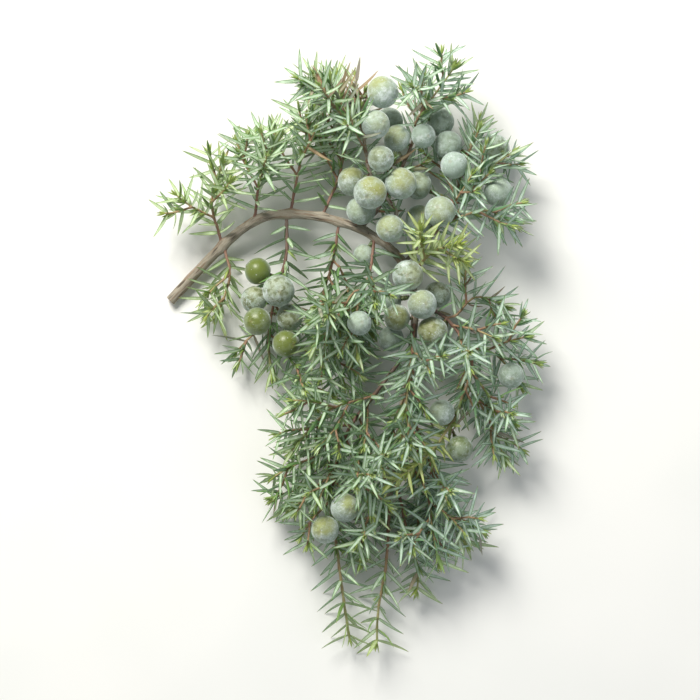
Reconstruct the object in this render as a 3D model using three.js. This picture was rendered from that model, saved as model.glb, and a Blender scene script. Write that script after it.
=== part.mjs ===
// A juniper sprig with its berries, cut from the bush and laid on a table.
// Millimetres, +Z up and Z = 0 on the table. +Y runs from the hanging tips to the berry clusters.
// The woody stem arches from its cut end over to the leading tip. Shoots leave it on both sides, each with
// whorls of three needles and side twigs of its own. The berries stand on short stalks beside the twigs.
import * as THREE from "three";

// ---- driving dimensions ----
const stemRadiusAtCut = 1.5;
const stemRadiusAtTip = 0.8;
const stemSides = 8;
const stemRingStep = 5; // distance between the stem's rings

const shootRadius = 0.52; // a shoot's twig at its foot, from axis to corner, unless the shoot says otherwise
const tipShare = 0.62; // the twig's radius at its tip, as a share of that at its foot
const budLength = 1.6; // bare tip beyond the last whorl
const firstWhorlAt = 1.9; // bare twig below the first whorl

const needleLength = 10.2; // a full-grown needle in the middle of a shoot
const hangingFrom = -34; // the Y below which the habit of the hanging tips sets in
const hangingTo = -56; // and is full
const hangingLength = 0.94; // there needles are this share of a full-grown one, up to the last whorl
const hangingSpread = 64; // and this many degrees off their twig
const leavesPerWhorl = 3; // twigs are three-sided, one needle to a side
const leafSeat = 0.72; // height of the band of twig that one whorl of needles grows from

const forkLength = 15; // the longest side twig
const forkEvery = 9; // length of shoot to each side twig
const forkBears = 12; // a side twig longer than this has side twigs of its own
const forkRadius = 0.42;
const forkSpread = 46; // degrees between a shoot and its side twig
const forkLifts = [0.35, 0.9, 0.1]; // how much each side twig in turn looks upwards, for 1 sideways
const forkNeck = 0.55; // from the shoot's surface to the side twig's first ring
const joinLength = 1.8; // a joined shoot leaves its parent as a side twig does, and then turns
const forkRoom = 1.1; // how far a new side twig keeps from everything
const forkFloor = 2.4; // and from the table
const forkLowest = -52; // no side twig hangs below this Y, so the hanging tips stay slender

const stalkRadius = 0.42;
const leastStalk = 0.6; // bare stalk between a berry and its twig's seat
const berrySegments = 9;
const openAbove = 9; // needles and side twigs leave this much room above the middle of a berry
const openShare = 0.6; // over this share of its width

const seatGap = 0.33; // running gap between a shoot or stalk and the wood that carries it
const needleClearance = 0.22; // needles keep this far from every other piece
const ownClearance = 0.06; // and this far from the needles and side twigs of their own
const floorClearance = 0.02;
const needleGirth = 0.32; // radius of the room that a needle takes in its lower half
const needlePoint = 0.16; // and in its upper half

// ---- routes: through-points in millimetres ----
const stemRoute = [
  [-62, 20, 1.5], [-49, 33.5, 4], [-40.5, 40.5, 7], [-33, 43.5, 9], [-21, 43, 11], [-9, 39.5, 12],
  [1, 33, 12.5], [6.3, 24, 12], [7, 12.5, 11.5], [4.5, -4.5, 11], [2, -22, 10], [0, -36, 9],
];

// Every shoot: what carries it, how far along that (0 foot, 1 tip), and the points its axis passes through.
// radius is the twig's at its foot, step the distance between whorls, reach scales its needles, and forks
// counts the side twigs it may carry. A joined shoot is one body with the shoot that carries it.
const shoots = {
  shoot_top_left: {
    on: "stem", at: 0.146, step: 2.4,
    through: [[-50, 47, 10], [-46, 60, 16]],
  },
  shoot_top_star: {
    on: "stem", at: 0.226, step: 2.2, reach: 1.08,
    through: [[-36, 54, 16], [-30, 66, 22]],
  },
  shoot_top_inner: {
    on: "stem", at: 0.299, step: 2.5,
    through: [[-25, 58, 13], [-21, 74, 13]],
  },
  shoot_behind_berries: {
    on: "stem", at: 0.361, step: 2.7,
    through: [[-14, 55, 11], [-12, 71, 10], [-15, 85, 9]],
  },
  twig_berry_left: {
    on: "stem", at: 0.49, radius: 0.72, step: 3.3,
    through: [[2, 43, 16], [-5, 52.5, 19], [-7.2, 64, 20], [-8.6, 74, 19.5], [-10, 84, 17]],
  },
  shoot_berry_left_side: {
    on: "twig_berry_left", at: 0.66, joined: true, step: 2.2,
    through: [[-14.5, 71, 24], [-22, 82, 26]],
  },
  twig_berry_middle: {
    on: "stem", at: 0.44, radius: 0.72, step: 3.3,
    through: [[-1, 48, 11], [5, 60, 11.5], [8.6, 70, 11.5], [10, 83, 9]],
  },
  shoot_berry_middle_crown: {
    on: "twig_berry_middle", at: 0.68, joined: true, step: 2.2,
    through: [[13, 77, 17], [19, 85, 20]],
  },
  twig_berry_right: {
    on: "stem", at: 0.545, radius: 0.7, step: 3.1,
    through: [[13, 38.5, 12], [19, 50, 11], [21.5, 59, 10], [26, 72, 8]],
  },
  shoot_right_high: {
    on: "twig_berry_right", at: 0.46, joined: true, step: 2.3,
    through: [[27, 55, 14], [36, 62, 12]],
  },
  shoot_right_crown: {
    on: "twig_berry_right", at: 0.25, joined: true, step: 2.4,
    through: [[27, 44, 16], [37, 39, 13]],
  },
  shoot_young_tuft: {
    on: "stem", at: 0.574, step: 1.7, reach: 0.85,
    through: [[12, 32, 19.5], [21, 34, 25]],
  },
  twig_right_red: {
    on: "stem", at: 0.622, radius: 0.66, step: 3,
    through: [[16, 14, 12], [23, 2, 13], [20, -9, 12], [17.5, -17, 10]],
  },
  shoot_right_middle: {
    on: "twig_right_red", at: 0.16, joined: true, step: 2.4,
    through: [[24, 20, 12], [34, 17, 10]],
  },
  shoot_right_outer: {
    on: "twig_right_red", at: 0.4, joined: true, step: 2.4,
    through: [[30, 4, 9], [38, -6, 6]],
  },
  shoot_right_lower: {
    on: "twig_right_red", at: 0.68, joined: true, step: 2.4,
    through: [[28, -14, 8], [33, -27, 6]],
  },
  shoot_young_bright: {
    on: "twig_right_red", at: 0.9, step: 2.2, reach: 0.72, forks: 0,
    through: [[11, -24, 17], [-2, -34, 20]],
  },
  shoot_glaucous: {
    on: "stem", at: 0.807, step: 2.5, reach: 1.05,
    through: [[10, -22, 7.5], [15, -38, 6.5], [22, -50, 6]],
  },
  shoot_glaucous_fork: {
    on: "shoot_glaucous", at: 0.44, joined: true, step: 2.3,
    through: [[12, -45, 11], [14, -56, 9]],
  },
  shoot_lower_right: {
    on: "stem", at: 0.94, step: 2.5,
    through: [[5, -46, 8], [8, -56, 6], [7.5, -64, 5]],
  },
  twig_green_berries: {
    on: "stem", at: 0.292, radius: 0.62, step: 3.2,
    through: [[-29, 32, 10], [-32, 21, 9], [-34, 9, 7.5], [-33, -3, 6]],
  },
  shoot_green_side: {
    on: "twig_green_berries", at: 0.7, joined: true, step: 2.4,
    through: [[-26, 0, 12], [-20, -12, 13]],
  },
  shoot_low_left: {
    on: "stem", at: 0.15, step: 2.5,
    through: [[-45, 27, 6], [-49, 14, 5]],
  },
  shoot_under_arch: {
    on: "stem", at: 0.396, step: 2.5,
    through: [[-16, 30, 11], [-19.5, 18, 9], [-21, 5, 6]],
  },
  shoot_under_side: {
    on: "shoot_under_arch", at: 0.58, joined: true, step: 2.4,
    through: [[-16.5, 8, 11], [-12, -6, 12]],
  },
  shoot_under_high: {
    on: "shoot_under_arch", at: 0.3, joined: true, step: 2.4,
    through: [[-11, 22, 7], [-5, 10, 5.5]],
  },
  shoot_front_left: {
    on: "stem", at: 0.47, step: 2.5,
    through: [[-5.5, 27, 16], [-9.5, 14, 17], [-9, 2, 17]],
  },
  shoot_front_side: {
    on: "shoot_front_left", at: 0.4, joined: true, step: 2.4,
    through: [[-15, 13, 21], [-22, 4, 22]],
  },
  twig_left: {
    on: "stem", at: 0.705, radius: 0.7, step: 3.7,
    through: [
      [-4, -7, 11.5], [-12, -18, 12], [-15.5, -30, 10], [-15.5, -42, 8], [-13.5, -60, 6], [-11, -77, 4.5],
    ],
  },
  shoot_left_whorled: {
    on: "twig_left", at: 0.165, joined: true, step: 2.1,
    through: [[-17, -12, 15], [-29, -25, 12]],
  },
  shoot_left_outer: {
    on: "twig_left", at: 0.3, joined: true, step: 2.3,
    through: [[-22, -27, 9], [-29, -41, 7]],
  },
  shoot_left_inner: {
    on: "twig_left", at: 0.26, joined: true, step: 2.2,
    through: [[-8.5, -29, 17], [-4.5, -42, 16]],
  },
  shoot_front_centre: {
    on: "stem", at: 0.655, step: 2.3,
    through: [[6, 3, 19], [4, -14, 20]],
  },
  shoot_front_low: {
    on: "shoot_front_centre", at: 0.5, joined: true, step: 2.4,
    through: [[1, -16, 15], [-3, -30, 14]],
  },
  shoot_inner_left: {
    on: "stem", at: 0.89, step: 2.5,
    through: [[-3, -35, 7], [-7.5, -47, 6], [-8, -56, 5]],
  },
  shoot_leader: {
    on: "stem", at: 1, radius: 0.6, step: 3.7, forks: 1,
    through: [[-0.9, -54, 8], [-3.2, -68, 6], [-3.6, -78, 4.8]],
  },
};

// Every berry: what it grows on, its diameter, and about where its centre is.
const berries = {
  berry_01: { on: "twig_berry_left", about: [-2, 76.5, 21.5], diameter: 9 },
  berry_02: { on: "twig_berry_left", about: [-4, 67, 25], diameter: 8 },
  berry_03: { on: "twig_berry_middle", about: [2, 64.5, 15], diameter: 7.6 },
  berry_04: { on: "twig_berry_middle", about: [9.5, 65, 16.5], diameter: 6.8 },
  berry_05: { on: "twig_berry_middle", about: [14.5, 70, 8.5], diameter: 8 },
  berry_06: { on: "twig_berry_right", about: [16.5, 63, 12.5], diameter: 8 },
  berry_07: { on: "twig_berry_left", about: [-2.5, 57.5, 24], diameter: 7.4 },
  berry_08: { on: "twig_berry_left", about: [3, 51, 21], diameter: 9 },
  berry_09: { on: "twig_berry_left", about: [-5.5, 48, 24.5], diameter: 9.2 },
  berry_10: { on: "twig_berry_left", about: [-10.5, 52, 18.5], diameter: 8.2 },
  berry_11: { on: "stem", about: [-8, 44, 17], diameter: 8.2 },
  berry_12: { on: "twig_berry_left", about: [0, 38.5, 21], diameter: 7.8 },
  berry_13: { on: "twig_berry_right", about: [8.5, 42, 11.5], diameter: 8.2 },
  berry_14: { on: "twig_berry_right", about: [14, 43.5, 18], diameter: 8.6 },
  berry_15: { on: "stem", about: [5, 25.5, 19], diameter: 8.6 },
  berry_16: { on: "stem", about: [9, 17.5, 18.5], diameter: 8.2 },
  berry_17: { on: "stem", about: [0, 19.5, 11], diameter: 7 },
  berry_18: { on: "stem", about: [2, 14, 16], diameter: 7.4 },
  berry_19: { on: "twig_right_red", about: [12, 10, 15], diameter: 8.8 },
  berry_20: { on: "stem", about: [0.5, 8.5, 11], diameter: 7.4 },
  berry_21: { on: "twig_right_red", about: [13.5, 21, 12.5], diameter: 7.6 },
  berry_22: { on: "twig_left", about: [-12.5, -39, 15.5], diameter: 8 },
  berry_23: { on: "twig_left", about: [-18, -45, 14], diameter: 7.8 },
  berry_24: { on: "twig_right_red", about: [14.5, -12.5, 15.5], diameter: 7.2 },
  berry_25: { on: "twig_right_red", about: [19.5, -22.5, 12.5], diameter: 7.6 },
  berry_26: { on: "twig_green_berries", about: [-37, 27.5, 10.5], diameter: 7.6 },
  berry_27: { on: "twig_green_berries", about: [-31, 21.5, 16], diameter: 9 },
  berry_28: { on: "twig_green_berries", about: [-38, 19.5, 10.5], diameter: 7.6 },
  berry_29: { on: "twig_green_berries", about: [-28, 14.5, 11.5], diameter: 7.6 },
  berry_30: { on: "twig_green_berries", about: [-37, 13, 14.5], diameter: 7.8 },
  berry_31: { on: "twig_green_berries", about: [-29, 6.8, 11], diameter: 7.6 },
  berry_32: { on: "twig_berry_left", about: [0, 70, 9.5], diameter: 8 },
  berry_33: { on: "twig_berry_right", about: [18, 56.6, 17.5], diameter: 7.6 },
  berry_34: { on: "twig_berry_right", about: [8, 51.5, 12.5], diameter: 8 },
  berry_35: { on: "shoot_front_left", about: [-8.5, 12, 21.5], diameter: 6.8 },
  berry_36: { on: "shoot_right_high", about: [30, 62.5, 7.5], diameter: 8.2 },
  berry_37: { on: "shoot_right_high", about: [30.5, 49.5, 13], diameter: 8.2 },
  berry_38: { on: "stem", about: [-7, 32, 14], diameter: 6.4 },
  berry_39: { on: "shoot_right_outer", about: [34, -2, 12.5], diameter: 7.2 },
};

// ---- small helpers ----
const vector = (p) => new THREE.Vector3(...p);
const lerp = THREE.MathUtils.lerp;
const radians = THREE.MathUtils.degToRad;

// A repeatable random number from 0 to 1.
function seeded(seed) {
  let state = seed;
  return () => {
    state = (Math.imul(state, 1664525) + 1013904223) >>> 0;
    return state / 4294967296;
  };
}

// Frames along a curve: position, direction and two normals that don't twist.
function framesAlong(curve, distances) {
  const length = curve.getLength();
  const frames = [];
  for (const distance of distances) {
    const share = THREE.MathUtils.clamp(distance / length, 0, 1);
    const direction = curve.getTangentAt(share).normalize();
    const upright = Math.abs(direction.z) > 0.9;
    const last = frames.at(-1)?.side ?? new THREE.Vector3(upright ? 1 : 0, 0, upright ? 0 : 1);
    const side = last.clone().addScaledVector(direction, -last.dot(direction)).normalize();
    const across = new THREE.Vector3().crossVectors(direction, side);
    frames.push({ at: curve.getPointAt(share), direction, side, across, share });
  }
  return frames;
}

function ringAt(frame, radius, sides, turn) {
  return Array.from({ length: sides }, (_, i) => {
    const angle = turn + (i * 2 * Math.PI) / sides;
    return frame.at
      .clone()
      .addScaledVector(frame.side, radius * Math.cos(angle))
      .addScaledVector(frame.across, radius * Math.sin(angle));
  });
}

// One closed skin over a twig: a pole, its rings and another pole. A ring marked turned is half a side on.
// growths[ring][side] is what grows from that side of the band above the ring: a needle's tip or a side twig.
function skin({ foot, rings, top, turned = [], growths = [] }) {
  const corners = [];
  const face = (...three) => corners.push(...three);
  const wrap = (part) => {
    part.rings.forEach((ring, k) => {
      const next = part.rings[k + 1];
      ring.forEach((a, i) => {
        const b = ring[(i + 1) % ring.length];
        if (!next) {
          face(a, b, part.top);
          return;
        }
        const c = next[(i + 1) % ring.length];
        const d = next[i];
        const growth = part.growths[k]?.[i];
        if (growth?.isVector3) [[a, b], [b, c], [c, d], [d, a]].forEach(([p, q]) => face(p, q, growth));
        else if (growth) {
          lace([a, b, c, d], growth.rings[0], face);
          wrap(growth);
        } else if (part.turned[k + 1]) face(a, b, d, b, c, d);
        else face(a, b, c, a, c, d);
      });
    });
  };
  rings[0].forEach((a, i) => face(foot, rings[0][(i + 1) % rings[0].length], a));
  wrap({ rings, top, turned, growths });
  return new THREE.BufferGeometry().setFromPoints(corners);
}

// The band between two rings that don't have the same number of corners.
function lace(outer, inner, face) {
  const gaps = inner.map((p) => p.distanceTo(outer[0]));
  const nearest = gaps.indexOf(Math.min(...gaps));
  const from = (i) => outer[i % outer.length];
  const to = (j) => inner[(j + nearest) % inner.length];
  let i = 0;
  let j = 0;
  while (i < outer.length || j < inner.length) {
    const stepOuter = from(i + 1).distanceTo(to(j)) < from(i).distanceTo(to(j + 1));
    if (j >= inner.length || (i < outer.length && stepOuter)) {
      face(from(i), from(i + 1), to(j));
      i += 1;
    } else {
      face(from(i), to(j + 1), to(j));
      j += 1;
    }
  }
}

// ---- keeping clear of each other ----
// Everything placed so far, as round-ended rods. Each knows its piece, and the twig that it is, if it is one.
const placed = [];

function place(owner, from, to, radius, twig = null) {
  const middle = from.clone().lerp(to, 0.5);
  placed.push({ owner, from, to, radius, twig, middle, half: from.distanceTo(to) / 2 });
}

// The least distance between two line segments.
function segmentGap(p1, q1, p2, q2) {
  const d1 = q1.clone().sub(p1);
  const d2 = q2.clone().sub(p2);
  const r = p1.clone().sub(p2);
  const a = d1.dot(d1) + 1e-9;
  const e = d2.dot(d2) + 1e-9;
  const b = d1.dot(d2);
  const c = d1.dot(r);
  const f = d2.dot(r);
  const spread = a * e - b * b;
  let s = spread > 1e-9 ? THREE.MathUtils.clamp((b * f - c * e) / spread, 0, 1) : 0;
  const t = THREE.MathUtils.clamp((b * s + f) / e, 0, 1);
  s = THREE.MathUtils.clamp((b * t - c) / a, 0, 1);
  return p1.clone().addScaledVector(d1, s).distanceTo(p2.clone().addScaledVector(d2, t));
}

// True if a new rod would touch nothing. Its own twig doesn't count, and its own piece may come closer.
function isClear(owner, from, to, radius, twig = null) {
  const middle = from.clone().lerp(to, 0.5);
  const half = from.distanceTo(to) / 2;
  return placed.every((rod) => {
    const ownPiece = rod.owner === owner;
    if (ownPiece && (twig === null || rod.twig === twig)) return true;
    const reach = rod.radius + radius + (ownPiece ? ownClearance : needleClearance);
    if (rod.middle.distanceTo(middle) > half + rod.half + reach) return true;
    return segmentGap(from, to, rod.from, rod.to) > reach;
  });
}

// ---- the woody stem ----
const stemCurve = new THREE.CatmullRomCurve3(stemRoute.map(vector));
const stemRadiusAt = (share) => lerp(stemRadiusAtCut, stemRadiusAtTip, share);
const axes = { stem: { curve: stemCurve, radiusAt: stemRadiusAt } }; // each shoot adds its own
const plans = {}; // each shoot's rings and whorls

function stemGeometry() {
  const length = stemCurve.getLength();
  const count = Math.round(length / stemRingStep);
  const distances = Array.from({ length: count + 1 }, (_, k) => (length * k) / count);
  const frames = framesAlong(stemCurve, distances);
  const rings = frames.map((f) => ringAt(f, stemRadiusAt(f.share), stemSides, 0));
  frames.slice(1).forEach((f, k) => place("stem", frames[k].at, f.at, stemRadiusAt(frames[k].share)));
  return skin({ foot: frames[0].at, rings, top: frames.at(-1).at });
}

// ---- shoots ----
// The axis of a shoot that is its own piece starts on the surface of what carries it, clear by the seat gap.
function shootAxis({ on, at, through, radius = shootRadius }) {
  const parent = axes[on];
  const foot = parent.curve.getPointAt(at);
  const along = parent.curve.getTangentAt(at);
  const first = vector(through[0]).sub(foot).normalize();
  const cosine = Math.abs(first.dot(along));
  const sine = Math.sqrt(1 - cosine * cosine);
  const offset = at < 1 ? (parent.radiusAt(at) + seatGap + radius * cosine) / sine : seatGap;
  const start = foot.clone().addScaledVector(first, offset);
  const curve = new THREE.CatmullRomCurve3([start, ...through.map(vector)]);
  return { curve, radiusAt: (share) => radius * lerp(1, tipShare, share) };
}

// The rings of a leafy twig, two to a whorl, each whorl half a side further round than the last.
function planTwig(owner, curve, radiusAt, step, random) {
  const length = curve.getLength();
  const whorls = [];
  for (let d = firstWhorlAt; d < length - budLength; d += step * lerp(1.06, 0.8, d / length)) whorls.push(d);
  const frames = framesAlong(curve, [0, ...whorls.flatMap((d) => [d - leafSeat / 2, d + leafSeat / 2])]);
  const firstTurn = random() * 2 * Math.PI;
  const halfSide = Math.PI / leavesPerWhorl;
  const turns = frames.map((_, k) => firstTurn + halfSide * Math.max(0, Math.floor((k - 1) / 2)));
  const rings = frames.map((f, k) => ringAt(f, radiusAt(f.share), leavesPerWhorl, turns[k]));
  const turned = frames.map((_, k) => k > 1 && k % 2 === 1);
  const foot = curve.getPointAt(0);
  const top = curve.getPointAt(1);
  return { owner, length, whorls, frames, turns, rings, turned, foot, top, random, forks: [] };
}

// The patch of twig that one needle or side twig grows from: its middle and the way it faces.
function patch({ frames, turns, rings }, k, i, swing = 0) {
  const next = (i + 1) % leavesPerWhorl;
  const corners = [rings[k][i], rings[k][next], rings[k + 1][i], rings[k + 1][next]];
  const seat = new THREE.Vector3();
  corners.forEach((p) => seat.addScaledVector(p, 0.25));
  const angle = turns[k] + (Math.PI / leavesPerWhorl) * (2 * i + 1) + swing;
  const outward = frames[k].side.clone().multiplyScalar(Math.cos(angle));
  return { seat, outward: outward.addScaledVector(frames[k].across, Math.sin(angle)) };
}

// A direction that leaves a twig at so many degrees, towards outward.
function leaning(direction, outward, angle) {
  return direction.clone().multiplyScalar(Math.cos(angle)).addScaledVector(outward, Math.sin(angle));
}

// The side of the whorl above ring k that faces most nearly one way.
function sideFacing(twig, k, way) {
  const facing = twig.rings[k].map((_, i) => patch(twig, k, i).outward.dot(way));
  return facing.indexOf(Math.max(...facing));
}

const isTaken = (twig, k) => twig.forks.some((fork) => fork.k === k);

// The axis of a joined shoot starts at the free whorl nearest its place, and its parent carries it as a fork.
function joinShoot({ on, at, step, through }, random) {
  const parent = plans[on];
  const away = (w) => Math.abs(parent.whorls[w] / parent.length - at);
  const free = parent.whorls.map((_, w) => w).filter((w) => !isTaken(parent, 1 + 2 * w));
  const k = 1 + 2 * free.reduce((best, w) => (away(w) < away(best) ? w : best));
  const side = sideFacing(parent, k, vector(through[0]).sub(parent.frames[k].at).normalize());
  const { seat, outward } = patch(parent, k, side);
  const way = leaning(parent.frames[k].direction, outward, radians(forkSpread + 10));
  const foot = seat.addScaledVector(way, forkNeck);
  const clear = foot.clone().addScaledVector(way, joinLength);
  const curve = new THREE.CatmullRomCurve3([foot, clear, ...through.map(vector)]);
  const radiusAt = (share) => forkRadius * lerp(1, tipShare, share);
  const fork = planTwig(parent.owner, curve, radiusAt, step, random);
  parent.forks.push({ k, side, fork });
  return { curve, radiusAt, fork };
}

// A side twig from the patch above ring k that faces one hand and upwards by lift, or null if it's crowded.
function tryFork(twig, k, hand, lift, length, step) {
  const { direction } = twig.frames[k];
  const up = new THREE.Vector3(0, 0, 1);
  const wanted = new THREE.Vector3().crossVectors(direction, up).multiplyScalar(hand);
  const side = sideFacing(twig, k, wanted.addScaledVector(up, lift));
  const { seat, outward } = patch(twig, k, side);
  const spread = radians(forkSpread);
  const foot = seat.clone().addScaledVector(leaning(direction, outward, spread + radians(10)), forkNeck);
  const middle = foot.clone().addScaledVector(leaning(direction, outward, spread), length / 2);
  const end = middle.clone().addScaledVector(leaning(direction, outward, spread - radians(12)), length / 2);
  const start = foot.clone().lerp(middle, 0.3);
  const { owner } = twig;
  if (end.z < forkFloor || end.y < forkLowest || !isClear(owner, foot, start, forkRadius)) return null;
  if (!isClear(owner, start, middle, forkRoom) || !isClear(owner, middle, end, forkRoom)) return null;
  const radiusAt = (share) => forkRadius * lerp(1, tipShare, share);
  const fork = planTwig(owner, new THREE.CatmullRomCurve3([foot, middle, end]), radiusAt, step, twig.random);
  const offRoot = foot.clone().lerp(middle, 0.2);
  place(owner, foot, offRoot, forkRadius, twig); // counted as the parent's, whose needles may stand close
  place(owner, offRoot, middle, forkRadius, fork);
  place(owner, middle, end, forkRadius, fork);
  return { k, side, fork };
}

// Side twigs leave to the left and the right in turn, shorter or on the other hand where it's crowded.
function growForks(twig, count, step) {
  for (let f = 0; f < count; f += 1) {
    const share = lerp(0.12, 0.76, (f + 0.5) / count);
    const k = 1 + 2 * Math.round(share * twig.whorls.length);
    if (isTaken(twig, k)) continue;
    const longest = Math.min(forkLength, 5 + 0.45 * twig.length * (1 - share));
    const hand = f % 2 ? 1 : -1;
    const lift = forkLifts[f % forkLifts.length];
    for (const [size, turn] of [[1, 1], [1, -1], [0.8, 1], [0.8, -1], [0.62, 1], [0.62, -1]]) {
      const found = tryFork(twig, k, hand * turn, lift, longest * size, step);
      if (found) {
        twig.forks.push(found);
        break;
      }
    }
  }
}

// How far a whorl's needles stand off the twig, and how long they are, from foot to tip of the shoot.
function whorlHabit(share, y) {
  const spread = share < 0.7 ? lerp(72, 60, share / 0.7) : lerp(60, 32, (share - 0.7) / 0.3);
  const length = share < 0.15 ? lerp(0.72, 1, share / 0.15) : lerp(1, 0.62, Math.max(0, share - 0.6) / 0.4);
  const hanging = THREE.MathUtils.smoothstep(-y, -hangingFrom, -hangingTo);
  return {
    spread: radians(lerp(spread, hangingSpread, hanging)),
    length: lerp(length, hangingLength, hanging),
  };
}

// How a needle gives way to its neighbours: degrees off the twig, degrees round it, share of its length.
const givingWay = [
  [0, 0, 1], [-12, 0, 1], [10, 0, 1], [-8, 16, 1], [-8, -16, 1], [-24, 0, 1], [-20, 22, 1], [-20, -22, 1],
  [-5, 0, 0.8], [-15, 20, 0.8], [-15, -20, 0.8], [-35, 0, 0.85], [-10, 30, 0.7], [-10, -30, 0.7],
  [-20, 0, 0.6], [0, 0, 0.45], [-25, 0, 0.4], [0, 0, 0.3], [0, 0, 0.22], [0, 0, 0.15],
];

function needleTip(twig, direction, { seat, outward }, length, spread) {
  const { owner } = twig;
  const sideways = new THREE.Vector3().crossVectors(direction, outward);
  for (const [more, round, shorter] of givingWay) {
    const out = leaning(outward, sideways, radians(round));
    const way = leaning(direction, out, spread + radians(more));
    const tip = seat.clone().addScaledVector(way, length * shorter);
    tip.z = Math.max(tip.z, floorClearance);
    const base = seat.clone().lerp(tip, 0.03);
    const root = seat.clone().lerp(tip, 0.12);
    const waist = seat.clone().lerp(tip, 0.45);
    const clear = isClear(owner, base, root, needleGirth) && isClear(owner, root, waist, needleGirth, twig);
    if (clear && isClear(owner, waist, tip, needlePoint, twig)) {
      place(owner, seat, waist, needleGirth);
      place(owner, waist, tip, needlePoint);
      return tip;
    }
  }
  return null;
}

// A needle on every patch that doesn't carry a side twig.
function growNeedles(twig, reach) {
  twig.growths = twig.frames.map(() => null);
  twig.whorls.forEach((d, w) => {
    const k = 1 + 2 * w;
    const { at, direction } = twig.frames[k];
    const { spread, length } = whorlHabit(d / twig.length, at.y);
    twig.growths[k] = Array.from({ length: leavesPerWhorl }, (_, i) => {
      const forked = twig.forks.find((fork) => fork.k === k && fork.side === i);
      if (forked) return growNeedles(forked.fork, forked.fork.reach ?? reach * 0.9);
      const from = patch(twig, k, i, radians(lerp(-9, 9, twig.random())));
      const long = needleLength * reach * length * lerp(0.86, 1.12, twig.random());
      return needleTip(twig, direction, from, long, spread + radians(lerp(-8, 8, twig.random())));
    });
  });
  return twig;
}

// ---- berries ----
// A berry's stalk starts at the nearest point of its twig and runs along the berry's own axis.
function stalkTo(middle, on) {
  const { curve, radiusAt } = axes[on];
  const count = Math.ceil(curve.getLength() * 4);
  const points = curve.getSpacedPoints(count);
  const gaps = points.map((p) => p.distanceTo(middle));
  const nearest = gaps.indexOf(Math.min(...gaps));
  const axis = middle.clone().sub(points[nearest]).normalize();
  return { axis, foot: points[nearest].clone().addScaledVector(axis, radiusAt(nearest / count) + seatGap) };
}

// Moves a berry up or down from about its place until its body and its stalk touch nothing.
function settleBerry(name, { on, about, diameter }) {
  const radius = diameter / 2;
  for (let n = 0; n < 48; n += 1) {
    const middle = vector(about);
    middle.z += 0.25 * Math.ceil(n / 2) * (n % 2 ? 1 : -1);
    const { axis, foot } = stalkTo(middle, on);
    const height = foot.distanceTo(middle);
    const onStalk = foot.clone().lerp(middle, 0.15);
    const standsOff = height - radius > leastStalk && middle.z > radius;
    if (standsOff && isClear(name, middle, middle, radius) && isClear(name, onStalk, middle, stalkRadius)) {
      place(name, foot, middle, stalkRadius);
      place(name, middle, middle, radius);
      return { name, middle, axis, foot, height, radius };
    }
  }
  throw new Error(`${name} finds no room`);
}

function berryGeometry({ foot, axis, height, radius }) {
  const at = (r, h) => new THREE.Vector2(r, h);
  const onBody = (angle) => at(radius * Math.sin(angle), height - radius * Math.cos(angle));
  const stalk = [at(0, 0), at(stalkRadius, 0), at(stalkRadius, height - 0.96 * radius)];
  const body = [32, 62, 90, 118, 148].map((degrees) => onBody(radians(degrees)));
  const profile = [...stalk, ...body, at(0, height + 0.96 * radius)];
  const lathe = new THREE.LatheGeometry(profile, berrySegments);
  const turn = new THREE.Quaternion().setFromUnitVectors(new THREE.Vector3(0, 1, 0), axis);
  return lathe.applyQuaternion(turn).translate(foot.x, foot.y, foot.z);
}

// ---- the sprig ----
function matte(name, color, roughness) {
  return new THREE.MeshStandardMaterial({ name, color, roughness, metalness: 0 });
}

const bark = matte("bark", "#7d6a5c", 0.85);
const needles = matte("needles", "#7f9c74", 0.6);
const youngNeedles = matte("young_needles", "#a9bf5a", 0.55);
const berryBloom = matte("berry_bloom", "#a3b8ae", 0.75);
const berryGreen = matte("berry_green", "#6d7a34", 0.45);

const sprig = new THREE.Group();

function addPiece(name, geometry, material) {
  const mesh = new THREE.Mesh(geometry, material);
  mesh.name = name;
  sprig.add(mesh);
}

addPiece("stem", stemGeometry(), bark);

Object.entries(shoots).forEach(([name, shoot], order) => {
  const random = seeded(977 + order * 131);
  if (shoot.joined) {
    const { fork, ...axis } = joinShoot(shoot, random);
    axes[name] = axis;
    plans[name] = fork;
  } else {
    axes[name] = shootAxis(shoot);
    plans[name] = planTwig(name, axes[name].curve, axes[name].radiusAt, shoot.step, random);
  }
  const plan = plans[name];
  plan.reach = shoot.reach ?? 1;
  const points = axes[name].curve.getSpacedPoints(Math.ceil(plan.length / 2));
  if (shoot.joined) {
    const offRoot = points[0].clone().lerp(points[1], 0.3);
    place(plan.owner, points[0], offRoot, forkRadius, plans[shoot.on]);
    points[0] = offRoot;
  }
  points.slice(1).forEach((to, i) => {
    place(plan.owner, points[i], to, axes[name].radiusAt(i / points.length), plan);
  });
});
const settled = Object.entries(berries).map(([name, berry]) => settleBerry(name, berry));
for (const { name, middle, radius } of settled) {
  place(name, middle, middle.clone().setZ(middle.z + openAbove), radius * openShare);
}

for (const [name, { forks, step }] of Object.entries(shoots)) {
  growForks(plans[name], forks ?? Math.round(plans[name].length / forkEvery), step * 0.97);
}
const joined = new Set(Object.values(plans));
for (const [name, { step }] of Object.entries(shoots)) {
  const bearing = plans[name].forks.filter(({ fork }) => !joined.has(fork) && fork.length > forkBears);
  bearing.forEach(({ fork }) => growForks(fork, 1, step * 0.97));
}
for (const [name, shoot] of Object.entries(shoots)) {
  const material = name.includes("young") ? youngNeedles : needles;
  if (!shoot.joined) addPiece(name, skin(growNeedles(plans[name], plans[name].reach)), material);
}

for (const berry of settled) {
  const green = berries[berry.name].on === "twig_green_berries";
  addPiece(berry.name, berryGeometry(berry), green ? berryGreen : berryBloom);
}

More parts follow.
